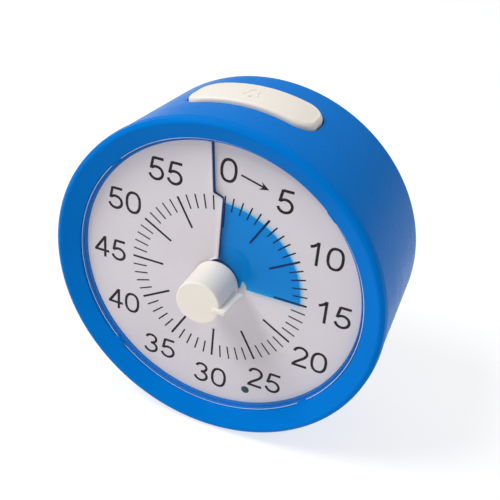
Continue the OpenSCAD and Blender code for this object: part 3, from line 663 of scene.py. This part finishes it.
def spring_part(middle, seat, top, coil_r, wire):
    """A wound spring of round wire between two heights, with its axis at (middle, BAR_MID)."""
    turns, steps, around = 3, 120, 12
    points = []
    for k in range(steps + 1):
        t = TAU * turns * k / steps
        rise = seat + wire + (top - seat - 2 * wire) * k / steps
        for i in range(around):
            a = TAU * i / around
            r = coil_r + wire * math.cos(a)
            up = rise + wire * math.sin(a)
            points.append(upright(middle + r * math.cos(t), BAR_MID + r * math.sin(t), up))
    return points, capped_faces(steps + 1, around)


def make_bar_springs():
    """Two wound springs under the bar, which shorten as it goes down."""
    low, high = box_mm("bar_springs")
    seat, top = low.z - AXIS_Z, high.z - AXIS_Z
    wire = 0.22
    coil_r = (high.y - low.y) / 2 - wire
    middle = (high.x - low.x) / 2 - (coil_r + wire)
    parts = [spring_part(side * middle, seat, top, coil_r, wire) for side in (-1, 1)]
    coils = piece("bar_spring_coils", joined(parts), STEEL, "case", ["bar_springs"], weighted=False)
    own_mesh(coils)


BELL_HALF = [(0.0, 1.0), (0.16, 0.97), (0.34, 0.84), (0.43, 0.62), (0.46, 0.3), (0.52, 0.08), (0.7, -0.12),
             (0.7, -0.22), (0.0, -0.22)]  # right half of a plain bell, from its top down
BELL_W, BELL_L, BELL_X, BELL_PEN = 2.9, 4.0, -0.9, 0.3
BELL_LIFT, BELL_ROOT = 0.07, -0.1  # the relief's top and its root in the bar


def make_bell():
    """A plain bell in low relief near the middle of the press bar."""
    outline = BELL_HALF + [(-x, y) for x, y in BELL_HALF[-2:0:-1]]
    clapper = arc_points(0, -0.3, 0.17, 0.17, 190, 350, 12)
    parts = []
    for path, closed in ((outline, True), (clapper, False)):
        spots = [(BELL_X + x * BELL_W, BAR_MID + (y - 0.35) * BELL_L) for x, y in path]
        points = []
        for lift in (BELL_LIFT, BELL_ROOT):
            for edge in stroke(spots, BELL_PEN, closed):
                points += [over_shell(p.x, p.y, BAR_PROUD + lift) for p in edge]
        parts.append((points, ribbon_faces(len(spots), closed)))
    piece("bar_bell", joined(parts), CREAM, "press_bar", weighted=False)


# ---------------------------------------------------------------- dial and coloured disc

DIAL_RISE = 0.9
SHEET_T = 0.025
MAX_ANGLE = math.radians(-JOINTS["knob_turn"]["range_deg"][0] + JOINTS["knob_turn"]["range_deg"][1])
SHEET_GAP = DIAL_RISE * (1 - MAX_ANGLE / TAU) / 2
SLIT_IN, SLIT_OUT = math.radians(-16), math.radians(-5.5)  # the slit's angle at the hole and at the rim
SLIT_IN_R, SLIT_IN_RUN = 6.9, 0.7  # where it starts to turn aside towards the hole
SLIT_OUT_R, SLIT_OUT_RUN = 23.6, 1.3  # where it jogs, just outside the coloured disc
OPEN_SLIT, OPEN_R, OPEN_RUN = 0.26, 24.4, 0.8  # width of the open slit, and from where it is open
EDGE_RISE, EDGE_WIDTH, EDGE_RUN = 0.42, 1.4, 0.2  # the thickened edge on the slit's upper side
ROLL, ROLL_WIDTH = 0.10, 0.12
DISC_TAIL = math.radians(355)
NOTCH_R, NOTCH_HALF, NOTCH_IN = 7.35, 0.78, math.radians(17)  # notch for the pointer's foot


def smoothstep(x):
    x = max(0.0, min(1.0, x))
    return x * x * (3 - 2 * x)


def slit_angle(r):
    """Where the slit crosses a radius: straight beside the disc, then a rounded jog outside it."""
    if r < SLIT_IN_R:
        return SLIT_IN * min(1.0, (SLIT_IN_R - r) / SLIT_IN_RUN)
    return SLIT_OUT * smoothstep((r - SLIT_OUT_R) / SLIT_OUT_RUN)


def dial_depth(clock):
    """Depth of the dial sheet's middle at a clockwise angle from the slit."""
    return DIAL_RISE / 2 - DIAL_RISE * clock / TAU


def sheet_faces(rows, columns):
    """Faces of a thin sheet: a front grid, a back grid and the four edges between them."""
    back = rows * columns
    faces = []

    def wall(a, b):
        faces.append((a, b, back + b, back + a))

    for i in range(rows - 1):
        for a in range(i * columns, (i + 1) * columns - 1):
            b, c, d = a + columns, a + columns + 1, a + 1
            faces.append((a, b, c, d))
            faces.append((back + a, back + d, back + c, back + b))
    last_row = back - columns
    for j in range(columns - 1):
        wall(j, j + 1)
        wall(last_row + j + 1, last_row + j)
    for start in range(0, last_row, columns):
        wall(start + columns, start)
        wall(start + columns - 1, start + 2 * columns - 1)
    return faces


def make_dial():
    """The dial sheet: one turn that rises by DIAL_RISE, with a slightly rolled edge on its upper side."""
    radii = [5.6, 6.2, 6.45, 6.7, 6.9, 7.2] + [8 + 1.3 * k for k in range(12)]
    radii += [23.5, 23.8, 24.05, 24.3, 24.55, 24.8, 25.1, 26] + [27.5 + 1.5 * k for k in range(7)] + [DIAL_R]
    columns = 241
    front, back = [], []
    for r in radii:
        start = slit_angle(r)
        turn = TAU - OPEN_SLIT / r * smoothstep((r - OPEN_R) / OPEN_RUN)
        for j in range(columns):
            clock = start + turn * j / (columns - 1)
            reach = (start + turn - clock) * r
            share = smoothstep(1 - reach / EDGE_WIDTH) * smoothstep((clock - MAX_ANGLE) / EDGE_RUN)
            roll = ROLL * max(0.0, 1 - reach / ROLL_WIDTH) ** 2
            depth = dial_depth(clock)
            front.append(spot(r, clock, depth - SHEET_T / 2 - share * (EDGE_RISE - roll)))
            back.append(spot(r, clock, depth + SHEET_T / 2))
    part = front + back, sheet_faces(len(radii), columns)
    piece("dial_face", part, PAPER, "case", ["dial_sheet"], weighted=False)


def notch_angle(r):
    """How far the disc's notch goes in from its leading edge at a radius."""
    x = abs(r - NOTCH_R) / NOTCH_HALF
    return NOTCH_IN * (math.sqrt(1 - x ** 1.6) if x < 1 else 0.0)


def make_disc():
    """The coloured disc: nearly one turn, wound against the dial sheet so that it comes out of the slit."""
    radii = [5.0, 6.0, 6.4, 6.58, 6.62, 6.7, 6.8, 6.95, 7.1, 7.25, 7.35, 7.45, 7.6, 7.75, 7.9, 8.0,
             8.08, 8.12, 8.3, 9] + [10 + 1.25 * k for k in range(10)] + [22.3, DISC_R]
    columns = 237
    front, back = [], []
    for r in radii:
        span = DISC_TAIL - notch_angle(r)
        for j in range(columns):
            clock = SET_ANGLE - DISC_TAIL + span * j / (columns - 1)
            depth = SHEET_GAP - DIAL_RISE / 2 + DIAL_RISE * (SET_ANGLE - clock) / TAU
            front.append(spot(r, clock, depth - SHEET_T / 2))
            back.append(spot(r, clock, depth + SHEET_T / 2))
    part = front + back, sheet_faces(len(radii), columns)
    piece("sector_film", part, FILM, "knob_set", ["colour_disc"], weighted=False)


# ---------------------------------------------------------------- print on the dial

INK_LIFT, INK_T = 0.004, 0.003


def on_dial(x, up, lift):
    """A point printed on the dial sheet at a place seen from the front."""
    clock = math.atan2(x, up) % TAU
    r = math.hypot(x, up)
    if clock > slit_angle(r) + TAU:
        clock -= TAU
    return spot(r, clock, dial_depth(clock) - SHEET_T / 2 - lift)


def stroke(path, width, closed=False):
    """A flat ribbon along a path of (x, up) points, as left and right edge points."""
    n = len(path)
    left, right = [], []
    for i, p in enumerate(path):
        if closed:
            a, b = Vector(path[i - 1]), Vector(path[(i + 1) % n])
        else:
            a, b = Vector(path[max(0, i - 1)]), Vector(path[min(n - 1, i + 1)])
        along = (b - a).normalized()
        side = Vector((-along.y, along.x)) * (width / 2)
        left.append(Vector(p) + side)
        right.append(Vector(p) - side)
    return left, right


def ribbon_faces(n, closed):
    """Faces of a stroke given as top left, top right, bottom left and bottom right rows of n points."""
    faces = []
    for i in range(n if closed else n - 1):
        j = (i + 1) % n
        faces.append((i, j, n + j, n + i))
        faces.append((2 * n + i, 3 * n + i, 3 * n + j, 2 * n + j))
        faces.append((i, 2 * n + i, 2 * n + j, j))
        faces.append((n + i, n + j, 3 * n + j, 3 * n + i))
    if not closed:
        faces.append((0, n, 3 * n, 2 * n))
        faces.append((n - 1, 3 * n - 1, 4 * n - 1, 2 * n - 1))
    return faces


def ribbon(path, width, closed=False):
    """Points and faces of an inked stroke, a hair above the dial."""
    points = []
    for lift in (INK_LIFT + INK_T, INK_LIFT):
        for edge in stroke(path, width, closed):
            points += [on_dial(p.x, p.y, lift) for p in edge]
    return points, ribbon_faces(len(path), closed)


def line_points(a, b, steps):
    a, b = Vector(a), Vector(b)
    return [tuple(a.lerp(b, k / steps)) for k in range(steps + 1)]


TICK_OUT, LONG_IN, SHORT_IN = 24.2, 15.35, 20.3  # radii where the ticks end and start
LONG_PEN, SHORT_PEN = 0.60, 0.40


def make_ticks():
    """A tick for each minute, and for zero a line on both sides of the slit."""
    parts = []
    for minute in range(1, 60):
        clock = math.radians(6 * minute)
        inner, pen = (LONG_IN, LONG_PEN) if minute % 5 == 0 else (SHORT_IN, SHORT_PEN)
        direction = Vector((math.sin(clock), math.cos(clock)))
        parts.append(ribbon(line_points(direction * inner, direction * TICK_OUT, 8), pen))
    for x, end in ((-0.55, TICK_OUT - 0.8), (0.25, TICK_OUT)):
        parts.append(ribbon(line_points((x, LONG_IN), (x, end), 8), SHORT_PEN))
    piece("dial_ticks", joined(parts), INK, "case", weighted=False)


def arc_points(cx, cy, rx, ry, start, end, steps):
    """Points of an elliptical arc between two angles in degrees."""
    angles = [math.radians(start + (end - start) * k / steps) for k in range(steps + 1)]
    return [(cx + rx * math.cos(t), cy + ry * math.sin(t)) for t in angles]


def oval_points(cx, cy, rx, ry, steps):
    """A closed oval, a little squarer than an ellipse."""
    power = 2 / 2.35
    out = []
    for k in range(steps):
        c, n = math.cos(TAU * k / steps), math.sin(TAU * k / steps)
        out.append((cx + rx * math.copysign(abs(c) ** power, c), cy + ry * math.copysign(abs(n) ** power, n)))
    return out


# Figures are drawn as pen paths, each open or closed, in a cell of this width whose height is 1
CELL_W = 0.65
FIGURES = {
    "0": [(oval_points(0.325, 0.5, 0.252, 0.435, 56), True)],
    "1": [([(0.40, 0.0), (0.40, 1.0)], False),
          ([(0.395, 0.965), (0.33, 0.875), (0.24, 0.80), (0.13, 0.745)], False)],
    "2": [(arc_points(0.325, 0.70, 0.235, 0.235, 174, -30, 24)
           + [(0.48, 0.50), (0.38, 0.395), (0.26, 0.285), (0.165, 0.19), (0.115, 0.12), (0.095, 0.065)],
           False),
          ([(0.045, 0.065), (0.60, 0.065)], False)],
    "3": [(arc_points(0.305, 0.735, 0.205, 0.20, 168, -88, 24), False),
          (arc_points(0.30, 0.295, 0.24, 0.235, 92, -170, 26), False)],
    "4": [([(0.455, 0.0), (0.455, 0.985)], False), ([(0.625, 0.295), (0.03, 0.295)], False),
          ([(0.06, 0.275), (0.445, 0.945)], False)],
    "5": [([(0.575, 0.935), (0.19, 0.935)], False), ([(0.195, 0.96), (0.115, 0.47)], False),
          ([(0.125, 0.49), (0.165, 0.535)] + arc_points(0.315, 0.325, 0.245, 0.26, 118, -168, 30), False)],
}
FIGURE_H, FIGURE_WIDEN, FIGURE_PEN = 6.5, 1.13, 0.76
FIGURE_ADVANCE = 0.78 * FIGURE_H  # from one figure's middle to the next one's
FIGURE_RING = 31.1
ZERO_SHIFT = 0.6  # the zero stands a little right of the slit


def figure_parts(char, middle, cy):
    """The inked strokes of a figure, with its cell's middle at (middle, cy)."""
    parts = []
    for path, closed in FIGURES[char]:
        placed = [(middle + (x - CELL_W / 2) * FIGURE_H * FIGURE_WIDEN, cy + (y - 0.5) * FIGURE_H)
                  for x, y in path]
        if len(placed) == 2:
            placed = line_points(placed[0], placed[1], 6)
        parts.append(ribbon(placed, FIGURE_PEN, closed))
    return parts


def make_numerals():
    """The numbers 0 to 55, upright, round the dial."""
    parts = []
    for k in range(12):
        text = str(5 * k)
        clock = math.radians(30 * k)
        cx = FIGURE_RING * math.sin(clock) + (ZERO_SHIFT if k == 0 else 0.0)
        first = cx - FIGURE_ADVANCE * (len(text) - 1) / 2
        for i, char in enumerate(text):
            parts += figure_parts(char, first + FIGURE_ADVANCE * i, FIGURE_RING * math.cos(clock))
    piece("dial_numerals", joined(parts), INK, "case", weighted=False)


def flat_shape(outline):
    """Points and faces of a filled inked outline."""
    n = len(outline)
    points = [on_dial(x, y, INK_LIFT + INK_T) for x, y in outline]
    points += [on_dial(x, y, INK_LIFT) for x, y in outline]
    faces = [tuple(range(n)), tuple(range(2 * n - 1, n - 1, -1))]
    faces += [(i, n + i, n + (i + 1) % n, (i + 1) % n) for i in range(n)]
    return points, faces


def make_arrow():
    """The arrow from 0 towards 5, a shaft and a barbed head."""
    start, tip = Vector((3.8, 30.8)), Vector((11.2, 28.75))
    pen, head, half_head, notch, shaft_end = 0.5, 2.5, 1.15, 1.6, 1.0
    along = (tip - start).normalized()
    side = Vector((-along.y, along.x)) * half_head
    shaft = ribbon(line_points(start, tip - along * shaft_end, 6), pen)
    barb = [tip, tip - along * head + side, tip - along * notch, tip - along * head - side]
    part = joined([shaft, flat_shape([tuple(p) for p in barb])])
    piece("dial_arrow", part, INK, "case", weighted=False)


LAMP_CLOCK, LAMP_RING, LAMP_R = math.radians(161.9), 33.8, 1.14
LAMP_DOME = [(1, -0.3), (1, 0.02), (0.97, 0.06), (0.85, 0.1), (0.6, 0.14), (0.3, 0.16)]  # (share of R, lift)


def make_lamp():
    """The lamp's dark window: a low dome set on the dial sheet."""
    cx, cy = LAMP_RING * math.sin(LAMP_CLOCK), LAMP_RING * math.cos(LAMP_CLOCK)
    base, n = dial_depth(LAMP_CLOCK), 40
    points = []
    for share, lift in LAMP_DOME:
        points += [place(x, y, base - lift) for x, y in circle_outline(cx, cy, LAMP_R * share, n)]
    piece("lamp_window", (points, capped_faces(len(LAMP_DOME), n)), LAMP, "case")


# ---------------------------------------------------------------- knob

KNOB_R = 6.05
KNOB_FACE = KNOB_TOP - 0.5  # height of its face, which the ridge stands above
KNOB_LOW = 0.85
KNOB_TAPER, KNOB_EDGE = 0.2, 0.45
KNOB_HEIGHTS = [KNOB_LOW, KNOB_LOW + 0.06, KNOB_LOW + 0.25, 1.6, 1.95, 2.05, 2.15, 2.25, 2.4, 2.8, 3.5,
                5, 7, 9, 10.2, 10.8]
POINTER_AT = SET_ANGLE + math.radians(3.5)
POINTER_WINDOW = 0.34  # angle on either side that holds the whole ridge
POINTER_HALF, POINTER_LOW, POINTER_RISE = 0.7, 2.1, 0.5
POINTER_FOOT, POINTER_REACH = 8.1, 7.6  # how far the ridge reaches at its foot and at the face
POINTER_INNER = 0.64 * KNOB_R  # where the ridge starts on the face


def soft_max(a, b, k):
    """The larger of two lengths, with a rounded changeover of size k."""
    h = max(k - abs(a - b), 0.0) / k
    return max(a, b) + h * h * k / 4


def soft_min(a, b, k):
    return -soft_max(-a, -b, k)


def knob_side_r(angle, h):
    """The knob's outer radius at a height: the round body, or the ridge where it stands out."""
    round_r = KNOB_R - KNOB_TAPER * (h - KNOB_LOW) / (KNOB_FACE - KNOB_LOW)
    if abs(angle) > POINTER_WINDOW:
        return round_r
    share = smoothstep((h - POINTER_LOW + 0.1) / 0.35)
    climb = (h - POINTER_LOW) / (KNOB_FACE - POINTER_LOW)
    end = (POINTER_FOOT + (POINTER_REACH - POINTER_FOOT) * climb - 0.05) / math.cos(angle)
    flank = POINTER_HALF * (0.5 + 0.5 * climb) / max(1e-4, math.sin(abs(angle)))
    ridge = soft_min(end, flank, 1.1)
    return round_r + (soft_max(round_r, ridge, 0.15) - round_r) * share


def knob_face_h(angle, r):
    """The height of the knob's face: flat, with the ridge's inner part raised."""
    if abs(angle) >= POINTER_WINDOW:
        return KNOB_FACE
    across = abs(r * math.sin(angle))
    along = r * math.cos(angle) - POINTER_INNER
    corner = max(0.0, 1 - (across / POINTER_HALF) ** 2) ** 0.5
    width_part = smoothstep((POINTER_HALF - across) / 0.34 + 0.15)
    length_part = smoothstep(along / 0.7) * smoothstep((along - 0.35 * (1 - corner)) / 0.6)
    return KNOB_FACE + POINTER_RISE * width_part * length_part


def knob_rows(angles):
    """Rows of (radius, height) for the angles: up the side, over the rim and in across the face."""
    rows = []
    for h in KNOB_HEIGHTS:
        rows.append([(knob_side_r(a, h) - (0.06 if h == KNOB_LOW else 0), h) for a in angles])
    rims = [knob_side_r(a, KNOB_FACE - 0.3) for a in angles]
    for k in range(9):
        t = math.pi / 2 * k / 8
        row = []
        for a, rim in zip(angles, rims):
            r = rim - KNOB_EDGE * (1 - math.cos(t))
            top = knob_face_h(a, min(r, knob_side_r(a, KNOB_FACE) - KNOB_EDGE))
            row.append((r, top - KNOB_EDGE * (1 - math.sin(t))))
        rows.append(row)
    for k in range(1, 44):
        radii = [(rim - KNOB_EDGE) * (1 - k / 44) for rim in rims]
        rows.append([(r, knob_face_h(a, r)) for a, r in zip(angles, radii)])
    return rows


def make_knob():
    """A slightly tapered knob whose pointer ridge runs down its side and a little way over its face."""
    window, fine, coarse = 2 * POINTER_WINDOW, 84, 96
    angles = [-POINTER_WINDOW + window * k / fine for k in range(fine + 1)]
    angles += [POINTER_WINDOW + (TAU - window) * k / coarse for k in range(1, coarse)]
    rows = knob_rows(angles)
    columns = len(angles)
    points = [spot(r, POINTER_AT + a, -h) for row in rows for (r, h), a in zip(row, angles)]
    faces = tube_faces(len(rows), columns, closed_rows=False)
    centre = len(points)
    under = centre + 1
    points += [spot(0, 0, -KNOB_FACE), spot(0, 0, -KNOB_LOW)]
    last = (len(rows) - 1) * columns
    faces += [(last + j, last + (j + 1) % columns, centre) for j in range(columns)]
    faces += [((j + 1) % columns, j, under) for j in range(columns)]
    piece("knob_cap", (points, faces), CREAM, "knob_set", ["knob"], weighted=False)


# ---------------------------------------------------------------- CAD nodes that stay, with their finish

SOFT_EDGES = {"rear_cover": 0.18, "battery_door": 0.18, "feet": 0.35, "volume_slider": 0.12,
              "case_screws": 0.06, "magnets": 0.12}


def soften(node, width):
    """Rounds the edges of a CAD node, after its flats' triangles are merged."""
    flat = node.modifiers.new("merge_flats", "DECIMATE")
    flat.decimate_type = "DISSOLVE"
    flat.angle_limit = math.radians(0.6)
    edge = node.modifiers.new("soft_edges", "BEVEL")
    edge.width = width * MM
    edge.segments = 3
    edge.limit_method = "ANGLE"
    edge.angle_limit = math.radians(35)
    edge.harden_normals = False


def finish_cad_nodes():
    """Gives each CAD node that stays its procedural material, and softens the edges of those that show."""
    slots = {s["node"]: s["material_slot"] for s in frame["record"]["subparts"]}
    for name, node in frame["nodes"].items():
        if node.hide_render:
            continue
        node.data.materials.clear()
        node.data.materials.append(SLOT_MATERIALS[slots[name]])
        if name in SOFT_EDGES:
            soften(node, SOFT_EDGES[name])


# ---------------------------------------------------------------- camera, light and floor

CAMERA_LENS, CAMERA_AT = 61.65, (68.65, 120.96, -168.39)  # CAMERA_AT is right of, above and behind the dial
AZIMUTH, ELEVATION, ROLL_ANGLE = math.radians(19.811), math.radians(31.429), math.radians(5.688)
FLOOR_HALF, FLOOR_GREY, FLOOR_GLOW = 3.0, 0.34, 0.72
WORLD_COLOUR = (0.98, 0.985, 1.0, 1)
WORLD_BRIGHT_SIDE = (-0.25, 0.45, 0.85)  # the studio is brighter above and behind the timer
WORLD_LOW, WORLD_HIGH = 0.08, 0.72
LIGHTS = {  # place from the timer's middle, size and watts
    "key": ((-0.50, -0.38, 0.80), 0.42, 7.5),
    "glint": ((0.62, -0.42, 0.80), 0.07, 1.0),
}


def set_camera(scene):
    camera = bpy.data.cameras.new("camera")
    camera.sensor_width = 36.0
    camera.lens = CAMERA_LENS
    camera.clip_start, camera.clip_end = 0.01, 20
    obj = bpy.data.objects.new("camera", camera)
    scene.collection.objects.link(obj)
    level = math.cos(ELEVATION)
    forward = Vector((-math.sin(AZIMUTH) * level, math.cos(AZIMUTH) * level, -math.sin(ELEVATION)))
    turn = forward.to_track_quat("-Z", "Y").to_matrix() @ Matrix.Rotation(ROLL_ANGLE, 3, "Z")
    obj.matrix_world = turn.to_4x4()
    obj.location = place(*CAMERA_AT)
    scene.camera = obj


def set_floor(scene):
    """A white floor that glows a little, so that it meets the white backdrop."""
    size = FLOOR_HALF
    mesh = bpy.data.meshes.new("floor")
    mesh.from_pydata([(-size, -size, 0), (size, -size, 0), (size, size, 0), (-size, size, 0)],
                     [], [(0, 1, 2, 3)])
    mat, _, shader = new_material("floor_white")
    shader.inputs["Base Color"].default_value = (FLOOR_GREY, FLOOR_GREY, FLOOR_GREY, 1)
    shader.inputs["Emission Color"].default_value = (1, 1, 1, 1)
    shader.inputs["Emission Strength"].default_value = FLOOR_GLOW
    shader.inputs["Roughness"].default_value = 0.9
    shader.inputs["Specular IOR Level"].default_value = 0.1
    mesh.materials.append(mat)
    floor = bpy.data.objects.new("floor", mesh)
    scene.collection.objects.link(floor)


def set_world(scene):
    """A studio that lights by direction, behind a backdrop that the camera sees as white."""
    world = bpy.data.worlds.new("studio")
    world.use_nodes = True
    tree = world.node_tree
    background = tree.nodes["Background"]
    background.inputs["Color"].default_value = WORLD_COLOUR
    coords = tree.nodes.new("ShaderNodeTexCoord")
    slope = tree.nodes.new("ShaderNodeVectorMath")
    slope.operation = "DOT_PRODUCT"
    slope.inputs[1].default_value = WORLD_BRIGHT_SIDE
    tree.links.new(coords.outputs["Generated"], slope.inputs[0])
    strength = spread(tree, slope.outputs["Value"], WORLD_LOW, WORLD_HIGH, -0.3, 1.0)
    path = tree.nodes.new("ShaderNodeLightPath")
    backdrop = calc(tree, "MAXIMUM", strength, path.outputs["Is Camera Ray"])
    tree.links.new(backdrop, background.inputs["Strength"])
    scene.world = world
    scene.view_settings.view_transform = "Standard"


def set_lights(scene):
    centre = place(0, 0, 10)
    for name, (offset, size, watts) in LIGHTS.items():
        light = bpy.data.lights.new(name, "AREA")
        light.shape = "DISK"
        light.size = size
        light.energy = watts
        obj = bpy.data.objects.new(name, light)
        obj.location = centre + Vector(offset)
        obj.rotation_euler = (centre - obj.location).to_track_quat("-Z", "Y").to_euler()
        scene.collection.objects.link(obj)


def set_stage():
    scene = bpy.context.scene
    set_camera(scene)
    set_floor(scene)
    set_world(scene)
    set_lights(scene)


make_bezel()
make_lens()
make_shell()
make_press_bar()
make_bar_springs()
make_bell()
make_dial()
make_disc()
make_ticks()
make_numerals()
make_arrow()
make_lamp()
make_knob()
finish_cad_nodes()
set_stage()
